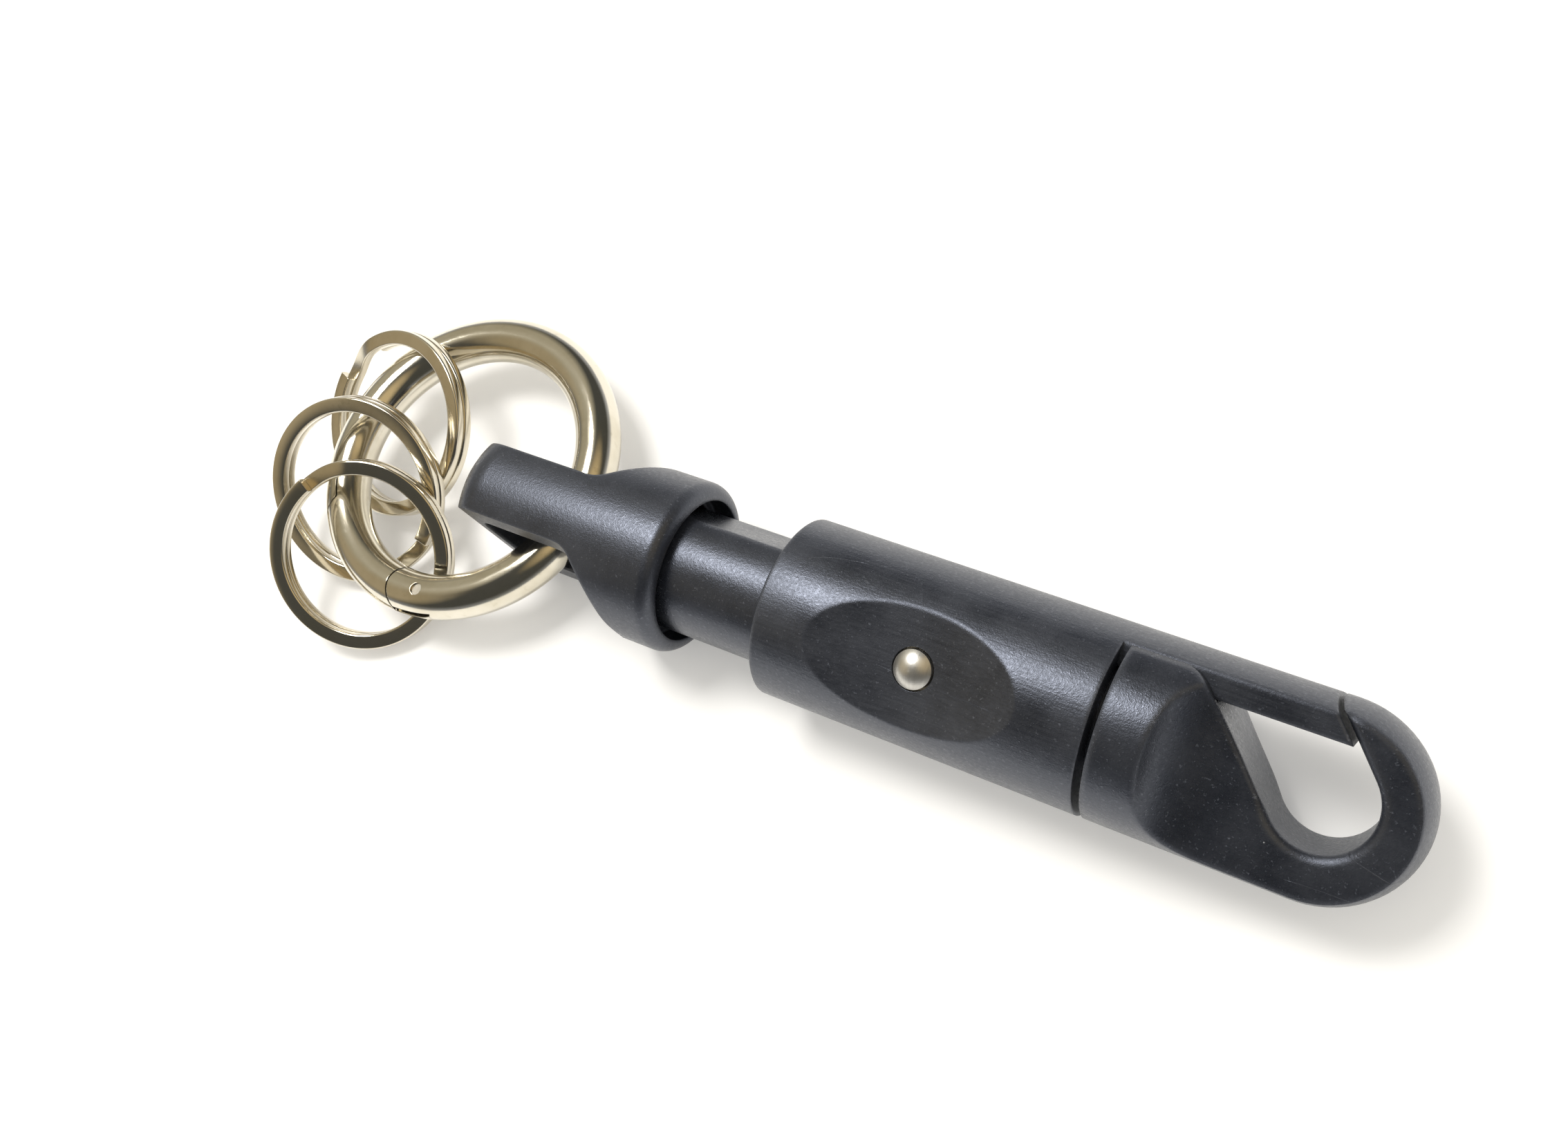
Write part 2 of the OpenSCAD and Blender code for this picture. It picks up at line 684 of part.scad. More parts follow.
// A block on one side of the pin, towards the gate at -1 and away from it at 1
module pin_side(side, h) {
    pin_frame() translate([0, side * body_r / 2, 0]) cube([body_d, body_r, h], center = true);
}

// The fixed part of the gate ring, with the fork at one end and the stop lip at the other
module ring_body() color("#cdbf9c") ring_frame() difference() {
    wire_arc(pin_angle - 360 - spare_angle, free_angle + spare_angle);
    // Past the fork's round end
    difference() {
        pin_side(-1, wire_d + over);
        pin_disc(fork_r, wire_d + over * 2);
    }
    // Past the lip, and inside it past the wire's own end
    intersection() {
        pin_disc(reach - lip_l, wire_d + over);
        free_block();
    }
    intersection() {
        pin_disc(reach + lip_gap, wire_d + over * 2);
        inner_half(ring_r + lip_gap / 2);
    }
    // The fork's slot
    pin_disc(fork_root_r, fork_slot);
    pin_side(-1, fork_slot);
    pin_disc(pin_d / 2, wire_d + over);
}

// The gate of the ring, with its tongue in the fork
module ring_gate() color("#d3c7a8") ring_frame() difference() {
    wire_arc(free_angle - spare_angle, pin_angle + spare_angle);
    // Past the free end
    difference() {
        free_block();
        pin_disc(reach, body_d * 2);
    }
    // The step under the lip
    difference() {
        free_block();
        pin_disc(reach - lip_l - lip_gap, body_d * 2);
        cylinder(h = body_d * 2, r = ring_r - lip_gap / 2, center = true);
    }
    // Above and below the tongue
    translate([0, 0, tongue_low + tongue_t]) pin_frame() cylinder(h = wire_d, r = fork_r + fork_gap);
    translate([0, 0, tongue_low - wire_d]) pin_frame() cylinder(h = wire_d, r = fork_r + fork_gap);
    // Past the tongue's round end
    difference() {
        pin_side(1, wire_d + over);
        pin_disc(tongue_r, wire_d + over * 2);
    }
    pin_disc(pin_d / 2 + pin_gap, wire_d + over);
}

// The pin that the gate turns on, pressed into the fork
module gate_pin() color("#b8b2a2") ring_frame() pin_disc(pin_d / 2, wire_d - 2 * pin_sink);

// The gate's torsion spring in the fork's slot, drawn as a plain ring with its two legs
module gate_spring() color("#b9bbbd") ring_frame() {
    low = tongue_low + tongue_t + tongue_gap;
    high = fork_slot / 2 - tongue_gap;
    pin_frame() {
        translate([0, 0, low]) difference() {
            cylinder(h = high - low, r = gate_spring_r);
            translate([0, 0, -over]) cylinder(h = high - low + 2 * over, r = gate_spring_r - gate_wire);
        }
        for (side = [-1, 1]) {
            leg_z = side < 0 ? low + gate_wire / 2 + tongue_gap : high - gate_wire / 2 - tongue_gap;
            translate([side * (gate_spring_r - gate_wire), 0, leg_z])
                rotate([90, 0, 0]) cylinder(h = gate_leg, d = gate_wire, $fn = 24);
        }
    }
}

// The section of a split ring: two turns with a groove between them on both sides
module key_section() {
    difference() {
        translate([key_r - key_w, 0]) union() {
            for (x = [key_round, key_w - key_round], y = [key_round - key_t / 2, key_t / 2 - key_round]) {
                translate([x, y]) circle(r = key_round, $fn = 32);
            }
            translate([key_round, -key_t / 2]) square([key_w - 2 * key_round, key_t]);
            translate([0, key_round - key_t / 2]) square([key_w, key_t - 2 * key_round]);
        }
        for (x = [key_r - key_w - over, key_r - key_groove]) {
            translate([x, -key_seam / 2]) square([over + key_groove, key_seam]);
        }
    }
}

// One split ring on the gate ring's wire, leaning on the table
module split_ring(i, from_centre, above) {
    x = -ring_back + from_centre * cos(key_angles[i]);
    y = ring_y + from_centre * sin(key_angles[i]);
    translate([x, y, above - ring_drop]) rotate([0, 0, key_lean_ways[i]]) rotate([0, key_leans[i], 0]) difference() {
        rotate_extrude() key_section();
        for (k = [0, 1]) {
            rotate([0, 0, key_ends[i][k]]) mirror([0, 0, k])
                translate([key_r - key_w - over, -key_end_gap / 2, -key_seam / 2])
                cube([key_w + 2 * over, key_end_gap, key_t]);
        }
    }
}

module split_ring_1() color("#cbbd98") split_ring(0, ring_r - key_1_in, -key_1_drop);
module split_ring_2() color("#cbbd98") split_ring(1, ring_r - key_2_in, key_2_rise);
module split_ring_3() color("#cbbd98") split_ring(2, ring_r + key_3_out, -key_3_drop);

hook_body();
sleeve();
carrier_block();
carrier_screw();
push_button();
button_spring();
return_spring();
end_plug();
swivel_washer();
swivel_screw();
swivel_cap();
ring_body();
ring_gate();
gate_pin();
gate_spring();
split_ring_1();
split_ring_2();
split_ring_3();
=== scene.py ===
import math

import bmesh
import bpy
from mathutils import Matrix, Vector


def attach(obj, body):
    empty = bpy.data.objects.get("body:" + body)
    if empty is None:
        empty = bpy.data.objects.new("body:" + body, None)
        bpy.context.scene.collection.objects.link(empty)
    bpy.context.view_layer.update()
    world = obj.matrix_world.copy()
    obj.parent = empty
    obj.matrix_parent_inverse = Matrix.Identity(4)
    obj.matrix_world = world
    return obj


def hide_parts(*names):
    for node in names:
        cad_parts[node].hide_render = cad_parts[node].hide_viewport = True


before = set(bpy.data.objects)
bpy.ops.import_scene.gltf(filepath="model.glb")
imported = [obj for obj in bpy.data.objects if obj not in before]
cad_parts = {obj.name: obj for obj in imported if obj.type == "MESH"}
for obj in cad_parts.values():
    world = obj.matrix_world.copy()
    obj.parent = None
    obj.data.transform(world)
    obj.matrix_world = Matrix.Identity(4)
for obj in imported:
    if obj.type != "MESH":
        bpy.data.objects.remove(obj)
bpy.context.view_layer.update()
MM = 0.001


# ---------------------------------------------------------------------------------------------
# The hook: one piece of aluminium bar, turned, milled to two flat faces, with the eye and the
# slanted throat cut through, then tumbled so that no edge is left sharp, and anodised black.
# ---------------------------------------------------------------------------------------------

def settle_shading(mesh):
    """Gives each corner the mean normal of the faces round it that belong to the same surface."""
    same_surface = math.cos(math.radians(13.0))
    around = [[] for _ in mesh.vertices]
    for polygon in mesh.polygons:
        spots = [mesh.vertices[v].co for v in polygon.vertices]
        for k, vert in enumerate(polygon.vertices):
            before, after = spots[k - 1] - spots[k], spots[(k + 1) % len(spots)] - spots[k]
            around[vert].append((before.angle(after, 0.0), polygon.normal.copy()))
    normals = [None] * len(mesh.loops)
    for polygon in mesh.polygons:
        for loop, vert in zip(polygon.loop_indices, polygon.vertices):
            total = Vector()
            for share, normal in around[vert]:
                if normal.dot(polygon.normal) > same_surface:
                    total += normal * share
            normals[loop] = total.normalized() if total.length > 0.0 else polygon.normal
    mesh.normals_split_custom_set(normals)


def merged_copy(node, body, material):
    """A copy of a solid with its flat faces merged and each surface shaded as one.

    Its edges stay sharp in the mesh, and the finish shades them as rounded.
    """
    merge_distance, flat_angle = 0.002 * MM, math.radians(0.5)
    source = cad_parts[node]
    mesh = source.data.copy()
    mesh.transform(source.matrix_world)
    shape = bmesh.new()
    shape.from_mesh(mesh)
    bmesh.ops.remove_doubles(shape, verts=shape.verts, dist=merge_distance)
    bmesh.ops.dissolve_limit(shape, angle_limit=flat_angle, verts=shape.verts, edges=shape.edges)
    shape.to_mesh(mesh)
    shape.free()
    mesh.materials.clear()
    mesh.materials.append(material)
    for polygon in mesh.polygons:
        polygon.use_smooth = True
        polygon.material_index = 0
    settle_shading(mesh)
    piece = bpy.data.objects.new(node + "_finish", mesh)
    bpy.context.scene.collection.objects.link(piece)
    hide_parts(node)
    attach(piece, body)


def finish_group(name, inputs):
    """An empty group with its named inputs, which gives a colour, a roughness and a normal."""
    tree = bpy.data.node_groups.new(name, "ShaderNodeTree")
    for label, kind, value in inputs:
        socket = tree.interface.new_socket(label, in_out="INPUT", socket_type=kind)
        socket.default_value = value
    for label, kind in (("Colour", "NodeSocketColor"), ("Roughness", "NodeSocketFloat"),
                        ("Normal", "NodeSocketVector")):
        tree.interface.new_socket(label, in_out="OUTPUT", socket_type=kind)
    return tree, tree.nodes.new("NodeGroupInput").outputs, tree.nodes.new("NodeGroupOutput").inputs


def put(tree, kind, settings=None, **inputs):
    """Adds a node with its settings. Each input, by name or as _number, gets a value or a link."""
    node = tree.nodes.new(kind)
    for key, value in (settings or {}).items():
        setattr(node, key, value)
    for key, value in inputs.items():
        socket = node.inputs[int(key[1:])] if key[0] == "_" else node.inputs[key.replace("_", " ")]
        if isinstance(value, bpy.types.NodeSocket):
            tree.links.new(value, socket)
        else:
            socket.default_value = value
    return node


def maths(tree, operation, a, b=0.0, clamp=False):
    """One step of arithmetic on two values."""
    return put(tree, "ShaderNodeMath", {"operation": operation, "use_clamp": clamp}, _0=a, _1=b).outputs[0]


def vector_maths(tree, operation, a, b):
    """One step of arithmetic that takes two vectors and gives a value."""
    return put(tree, "ShaderNodeVectorMath", {"operation": operation}, _0=a, _1=b).outputs["Value"]


def spread(tree, value, low, high, to_low=0.0, to_high=1.0):
    """Maps a value from one range to another, held at both ends."""
    node = put(tree, "ShaderNodeMapRange", {"clamp": True}, Value=value, From_Min=low, From_Max=high,
               To_Min=to_low, To_Max=to_high)
    return node.outputs["Result"]


def blend_colours(tree, share, a, b):
    """Colour a where the share is 0, colour b where it is 1. The node's colour sockets are 6, 7 and 2."""
    return put(tree, "ShaderNodeMix", {"data_type": "RGBA"}, _0=share, _6=a, _7=b).outputs[2]


def object_place(tree, stretch=(1.0, 1.0, 1.0), turn=(0.0, 0.0, 0.0)):
    """The place on the piece in metres, stretched and turned."""
    place = tree.nodes.new("ShaderNodeTexCoord").outputs["Object"]
    return put(tree, "ShaderNodeMapping", Vector=place, Scale=stretch, Rotation=turn).outputs["Vector"]


def noise(tree, vector, scale, detail=2.0, roughness=0.5):
    """A field of soft spots, with scale as their number in a metre."""
    field = put(tree, "ShaderNodeTexNoise", Vector=vector, Scale=scale, Detail=detail, Roughness=roughness)
    return field.outputs["Fac"]


def rounded_edge(tree, radius):
    """The normal of an edge rounded by the radius, and a mask that is 1 in the middle of the edge."""
    soft = put(tree, "ShaderNodeBevel", {"samples": 6}, Radius=radius).outputs["Normal"]
    plain = tree.nodes.new("ShaderNodeNewGeometry").outputs["Normal"]
    # How alike the two normals are where the rounding starts and in its middle
    start, middle = 0.995, 0.86
    return soft, spread(tree, vector_maths(tree, "DOT_PRODUCT", soft, plain), start, middle)


def anodised_skin():
    """The skin of the black parts: grain with painted sparkle highlights, cloudy tone, worn edges that also
    carry a painted highlight, dust and scratches.
    """
    # Painted highlight: the grey of the lighter grains that stand in for the skin's sparkle
    painted_glint_grey = (0.20, 0.21, 0.24, 1.0)
    scratch_grey = (0.015, 0.015, 0.018, 1.0)
    dust_grey = (0.6, 0.6, 0.6, 1.0)
    grain_depth = 0.025 * MM
    tree, given, result = finish_group("Anodised skin", [
        ("Base", "NodeSocketColor", (0.05, 0.055, 0.066, 1.0)),
        ("Worn", "NodeSocketColor", (0.20, 0.21, 0.23, 1.0)),
        ("Edge wear", "NodeSocketFloat", 0.5),
        ("Brush lines", "NodeSocketFloat", 0.3),
        ("Roughness", "NodeSocketFloat", 0.42),
        ("Edge radius", "NodeSocketFloat", 0.3 * MM),
    ])
    place = object_place(tree)
    long_place = object_place(tree, (0.04, 1.0, 1.0))
    fine = noise(tree, place, 9000.0, 1.0)
    grain = noise(tree, place, 3600.0, 3.0, 0.65)
    clouds = noise(tree, place, 160.0, 4.0, 0.6)
    lines = noise(tree, long_place, 5200.0, 2.0, 0.7)
    brush = spread(tree, lines, 0.35, 0.7)
    # Lighter grains painted into the colour as sparkle highlights, and a few specks of dust
    painted_glints = spread(tree, grain, 0.60, 0.76)
    cells = put(tree, "ShaderNodeTexVoronoi", {"feature": "F1"}, Vector=place, Scale=210.0)
    dusty = spread(tree, noise(tree, place, 70.0, 1.0), 0.50, 0.56)
    dust = maths(tree, "MULTIPLY", spread(tree, cells.outputs["Distance"], 0.010, 0.018, 1.0, 0.0), dusty)
    # Long fine scratches, each a thin line where a wandering field crosses its middle value
    bent = object_place(tree, (0.25, 1.0, 1.0), (0.3, 0.5, 0.9))
    field = noise(tree, bent, 130.0, 0.0)
    line = maths(tree, "ABSOLUTE", maths(tree, "SUBTRACT", field, 0.5))
    scratch = spread(tree, line, 0.0005, 0.0018, 1.0, 0.0)
    patchy = spread(tree, noise(tree, place, 90.0, 1.0), 0.56, 0.66)
    scratch = maths(tree, "MULTIPLY", scratch, patchy)
    # The edges are worn where the grain stands up, and lightened there as a painted edge highlight
    rounded, edge = rounded_edge(tree, given["Edge radius"])
    wear_and_edge_highlight = maths(tree, "MULTIPLY", edge, spread(tree, grain, 0.35, 0.7, 0.25, 1.0))
    wear_and_edge_highlight = maths(tree, "MULTIPLY", wear_and_edge_highlight, given["Edge wear"], clamp=True)
    # The colour, from the base up to the dust
    cloudy = spread(tree, clouds, 0.35, 0.65, 0.0, 0.10)
    brushed = maths(tree, "MULTIPLY", brush, maths(tree, "MULTIPLY", given["Brush lines"], 0.16))
    tone = blend_colours(tree, cloudy, given["Base"], given["Worn"])
    tone = blend_colours(tree, brushed, tone, given["Worn"])
    # Painted sparkle highlights, laid into the colour as lighter grains
    tone = blend_colours(tree, maths(tree, "MULTIPLY", painted_glints, 0.35), tone, painted_glint_grey)
    # Worn grey on the edges: real wear and a painted edge highlight
    tone = blend_colours(tree, wear_and_edge_highlight, tone, given["Worn"])
    tone = blend_colours(tree, maths(tree, "MULTIPLY", scratch, 0.5), tone, scratch_grey)
    tone = blend_colours(tree, maths(tree, "MULTIPLY", dust, 0.5), tone, dust_grey)
    tree.links.new(tone, result["Colour"])
    rough = maths(tree, "ADD", given["Roughness"], spread(tree, clouds, 0.3, 0.7, -0.05, 0.06))
    rough = maths(tree, "ADD", rough, spread(tree, grain, 0.35, 0.65, 0.05, -0.07))
    rough = maths(tree, "SUBTRACT", rough, maths(tree, "MULTIPLY", wear_and_edge_highlight, 0.12), clamp=True)
    tree.links.new(rough, result["Roughness"])
    height = maths(tree, "ADD", grain, maths(tree, "MULTIPLY", fine, 0.6))
    height = maths(tree, "ADD", height, maths(tree, "MULTIPLY", lines, given["Brush lines"]))
    height = maths(tree, "SUBTRACT", height, maths(tree, "MULTIPLY", scratch, 1.5))
    bump = put(tree, "ShaderNodeBump", Strength=0.75, Distance=grain_depth, Height=height,
               Normal=rounded)
    tree.links.new(bump.outputs["Normal"], result["Normal"])
    return tree


skin = anodised_skin()


def metal(name, group, metallic, bend=1.5, tint=(1.0, 1.0, 1.0, 1.0), **values):
    """A material whose colour, roughness and normal come from a finish group.

    Anodised pieces get metallic 0, because their skin is a dyed oxide, and plated or bare ones 1.
    """
    material = bpy.data.materials.new(name)
    material.use_nodes = True
    tree = material.node_tree
    shader = tree.nodes["Principled BSDF"]
    shader.inputs["Metallic"].default_value = metallic
    shader.inputs["IOR"].default_value = bend
    shader.inputs["Specular Tint"].default_value = tint
    finish = tree.nodes.new("ShaderNodeGroup")
    finish.name = "Finish"
    finish.node_tree = group
    for key, value in values.items():
        finish.inputs[key.replace("_", " ")].default_value = value
    for output, target in (("Colour", "Base Color"), ("Roughness", "Roughness"), ("Normal", "Normal")):
        tree.links.new(finish.outputs[output], shader.inputs[target])
    return material


# The black pieces share how strongly the skin mirrors and in which tint, its black and its worn grey
SKIN_BEND = 1.85
BLUISH = (0.74, 0.80, 0.96, 1.0)
BLACK = (0.0068, 0.0080, 0.0118, 1.0)
WORN_GREY = (0.13, 0.135, 0.15, 1.0)
# The edge wear also paints a lighter highlight along the edges of each black piece
hook_black = metal("Hook, black anodised", skin, 0.0, bend=SKIN_BEND, tint=BLUISH, Base=BLACK,
                   Worn=WORN_GREY, Edge_wear=0.25, Brush_lines=0.15, Roughness=0.325,
                   Edge_radius=0.80 * MM)
merged_copy("hook_body", "core", hook_black)


# ---------------------------------------------------------------------------------------------
# The sleeve and its gate strip: turned from the same bar in one piece, with a milled thumb
# recess, brushed along its length and anodised black. It slides on the shank.
# ---------------------------------------------------------------------------------------------

sleeve_black = metal("Sleeve, black anodised", skin, 0.0, bend=SKIN_BEND, tint=BLUISH, Base=BLACK,
                     Worn=(0.16, 0.165, 0.18, 1.0), Edge_wear=0.25, Brush_lines=0.5, Roughness=0.36)
# The recess and the ends are well rounded, and the rim of the button's hole is nearly sharp: the
# radius grows with the distance from the button, between the hole's rim and the recess's side
BUTTON_PLACE = (-31.85 * MM, -2.73 * MM, 5.68 * MM)
HOLE_RIM, RECESS_SIDE = 2.3 * MM, 3.4 * MM
SHARP, ROUND = 0.08 * MM, 0.50 * MM
sleeve_tree = sleeve_black.node_tree
from_button = vector_maths(sleeve_tree, "DISTANCE", object_place(sleeve_tree), BUTTON_PLACE)
sleeve_edge = spread(sleeve_tree, from_button, HOLE_RIM, RECESS_SIDE, SHARP, ROUND)
sleeve_tree.links.new(sleeve_edge, sleeve_tree.nodes["Finish"].inputs["Edge radius"])
merged_copy("sleeve", "sleeve", sleeve_black)


# ---------------------------------------------------------------------------------------------
# The block and screw inside the sleeve: a milled aluminium block that runs in the shank's slot,
# and a zinc-plated countersunk socket screw that ties the sleeve to it.
# ---------------------------------------------------------------------------------------------

def turned_finish():
    """The finish of the small machined pieces: tool lines across the clip, cloudy tone and fine grain."""
    grain_depth = 0.02 * MM
    tree, given, result = finish_group("Turned finish", [
        ("Base", "NodeSocketColor", (0.6, 0.6, 0.6, 1.0)),
        ("Shade", "NodeSocketColor", (0.4, 0.4, 0.4, 1.0)),
        ("Roughness", "NodeSocketFloat", 0.3),
        ("Grain", "NodeSocketFloat", 0.2),
    ])
    place = object_place(tree)
    lines = noise(tree, object_place(tree, (1.0, 0.1, 0.1)), 7000.0, 2.0, 0.6)
    grain = noise(tree, place, 4200.0, 2.0, 0.6)
    clouds = noise(tree, place, 240.0, 4.0, 0.6)
    share = maths(tree, "ADD", spread(tree, clouds, 0.35, 0.65, 0.0, 0.7),
                  maths(tree, "MULTIPLY", spread(tree, lines, 0.4, 0.7), 0.3), clamp=True)
    tone = blend_colours(tree, share, given["Base"], given["Shade"])
    tree.links.new(tone, result["Colour"])
    rough = maths(tree, "ADD", given["Roughness"], spread(tree, clouds, 0.3, 0.7, -0.06, 0.08), clamp=True)
    tree.links.new(rough, result["Roughness"])
    height = maths(tree, "MULTIPLY", maths(tree, "ADD", lines, grain), given["Grain"])
    bump = put(tree, "ShaderNodeBump", Strength=0.3, Distance=grain_depth, Height=height)
    tree.links.new(bump.outputs["Normal"], result["Normal"])
    return tree


turned = turned_finish()


def dress(node, material):
    """Gives a CAD piece its finish."""
    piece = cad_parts[node]
    piece.data.materials.clear()
    piece.data.materials.append(material)


block_metal = metal("Block, milled aluminium", turned, 1.0, Base=(0.62, 0.63, 0.65, 1.0),
                    Shade=(0.42, 0.43, 0.45, 1.0), Roughness=0.38, Grain=1.0)
screw_metal = metal("Screws, dark zinc", turned, 1.0, Base=(0.40, 0.41, 0.43, 1.0),
                    Shade=(0.22, 0.22, 0.24, 1.0), Roughness=0.34, Grain=0.6)
dress("carrier_block", block_metal)
dress("carrier_screw", screw_metal)


# ---------------------------------------------------------------------------------------------
# The push button: a small turned pin with a domed head, plated in satin nickel. Its flange
# under the sleeve's wall keeps it in.
# ---------------------------------------------------------------------------------------------

button_nickel = metal("Button, satin nickel", turned, 1.0, Base=(0.80, 0.79, 0.75, 1.0),
                      Shade=(0.60, 0.58, 0.54, 1.0), Roughness=0.36, Grain=0.7)
dress("push_button", button_nickel)


# ---------------------------------------------------------------------------------------------
# The springs: wound from drawn steel wire. One shuts the sleeve, one lifts the button and one
# shuts the ring's gate.
# ---------------------------------------------------------------------------------------------

spring_wire = metal("Springs, drawn wire", turned, 1.0, Base=(0.66, 0.66, 0.67, 1.0),
                    Shade=(0.42, 0.42, 0.44, 1.0), Roughness=0.25, Grain=0.5)
for spring in ("return_spring", "button_spring", "gate_spring"):
    dress(spring, spring_wire)


# ---------------------------------------------------------------------------------------------
# The swivel: a brass plug pressed into the shank, a brass washer that the cap's floor runs on, and
# the socket screw that holds the cap, of the same kind as the sleeve's.
# ---------------------------------------------------------------------------------------------

plug_brass = metal("Plug and washer, brass", turned, 1.0, Base=(0.72, 0.57, 0.30, 1.0),
                   Shade=(0.50, 0.37, 0.17, 1.0), Roughness=0.32, Grain=0.8)
dress("end_plug", plug_brass)
dress("swivel_washer", plug_brass)
dress("swivel_screw", screw_metal)


# ---------------------------------------------------------------------------------------------
# The swivel cap: turned from bar, milled flat on both sides to leave a loop, with a slot through
# it for the ring, tumbled and anodised black.
# ---------------------------------------------------------------------------------------------

cap_black = metal("Cap, black anodised", skin, 0.0, bend=SKIN_BEND, tint=BLUISH,
                  Base=(0.010, 0.011, 0.0145, 1.0), Worn=WORN_GREY, Edge_wear=0.3, Brush_lines=0.1,
                  Roughness=0.37, Edge_radius=0.45 * MM)
merged_copy("swivel_cap", "cap", cap_black)


# ---------------------------------------------------------------------------------------------
# The gate ring: round steel wire bent to a ring, nickel plated and polished, with a hinged gate
# whose tongue turns on a pin in the fork.
# ---------------------------------------------------------------------------------------------

def polished_plate():
    """Polished nickel plate: warm, nearly smooth, with faint waves, tarnish, spots and a painted highlight
    along the edges.
    """
    # Painted highlight: the pale colour laid on the edges
    painted_edge_highlight = (0.86, 0.83, 0.76, 1.0)
    wave_depth = 0.05 * MM
    tree, given, result = finish_group("Polished plate", [
        ("Base", "NodeSocketColor", (0.80, 0.77, 0.70, 1.0)),
        ("Tarnish", "NodeSocketColor", (0.50, 0.42, 0.28, 1.0)),
        ("Tarnish share", "NodeSocketFloat", 0.3),
        ("Roughness", "NodeSocketFloat", 0.1),
        ("Waves", "NodeSocketFloat", 0.3),
        ("Edge radius", "NodeSocketFloat", 0.1 * MM),
    ])
    place = object_place(tree)
    clouds = noise(tree, place, 120.0, 4.0, 0.65)
    spots = noise(tree, place, 900.0, 3.0, 0.7)
    waves = noise(tree, place, 420.0, 1.0, 0.5)
    grain = noise(tree, place, 5200.0, 2.0, 0.6)
    dull = maths(tree, "ADD", spread(tree, clouds, 0.42, 0.68, 0.0, 0.8),
                 spread(tree, spots, 0.60, 0.75, 0.0, 0.5))
    share = maths(tree, "MULTIPLY", dull, given["Tarnish share"], clamp=True)
    rounded, edge = rounded_edge(tree, given["Edge radius"])
    tone = blend_colours(tree, share, given["Base"], given["Tarnish"])
    # Painted highlight along the edges
    tone = blend_colours(tree, maths(tree, "MULTIPLY", edge, 0.3), tone, painted_edge_highlight)
    tree.links.new(tone, result["Colour"])
    rough = maths(tree, "ADD", given["Roughness"], spread(tree, clouds, 0.4, 0.7, 0.0, 0.07))
    rough = maths(tree, "ADD", rough, spread(tree, spots, 0.6, 0.8, 0.0, 0.12), clamp=True)
    tree.links.new(rough, result["Roughness"])
    height = maths(tree, "ADD", maths(tree, "MULTIPLY", waves, given["Waves"]),
                   maths(tree, "MULTIPLY", grain, 0.02))
    bump = put(tree, "ShaderNodeBump", Strength=0.5, Distance=wave_depth, Height=height,
               Normal=rounded)
    tree.links.new(bump.outputs["Normal"], result["Normal"])
    return tree


plate = polished_plate()
ring_nickel = metal("Gate ring, polished nickel", plate, 1.0, Base=(0.74, 0.70, 0.60, 1.0),
                    Tarnish=(0.40, 0.34, 0.20, 1.0), Tarnish_share=0.5, Roughness=0.11, Waves=0.5)
merged_copy("ring_body", "ring", ring_nickel)
merged_copy("ring_gate", "gate", ring_nickel)
pin_steel = metal("Gate pin, ground steel", turned, 1.0, Base=(0.70, 0.67, 0.60, 1.0),
                  Shade=(0.46, 0.43, 0.36, 1.0), Roughness=0.22, Grain=0.4)
dress("gate_pin", pin_steel)


# ---------------------------------------------------------------------------------------------
# The split rings: flattened spring wire wound twice round, with a short slope from the upper turn
# to the lower one between the two ends, nickel plated and polished. They hang on the gate ring.
# ---------------------------------------------------------------------------------------------

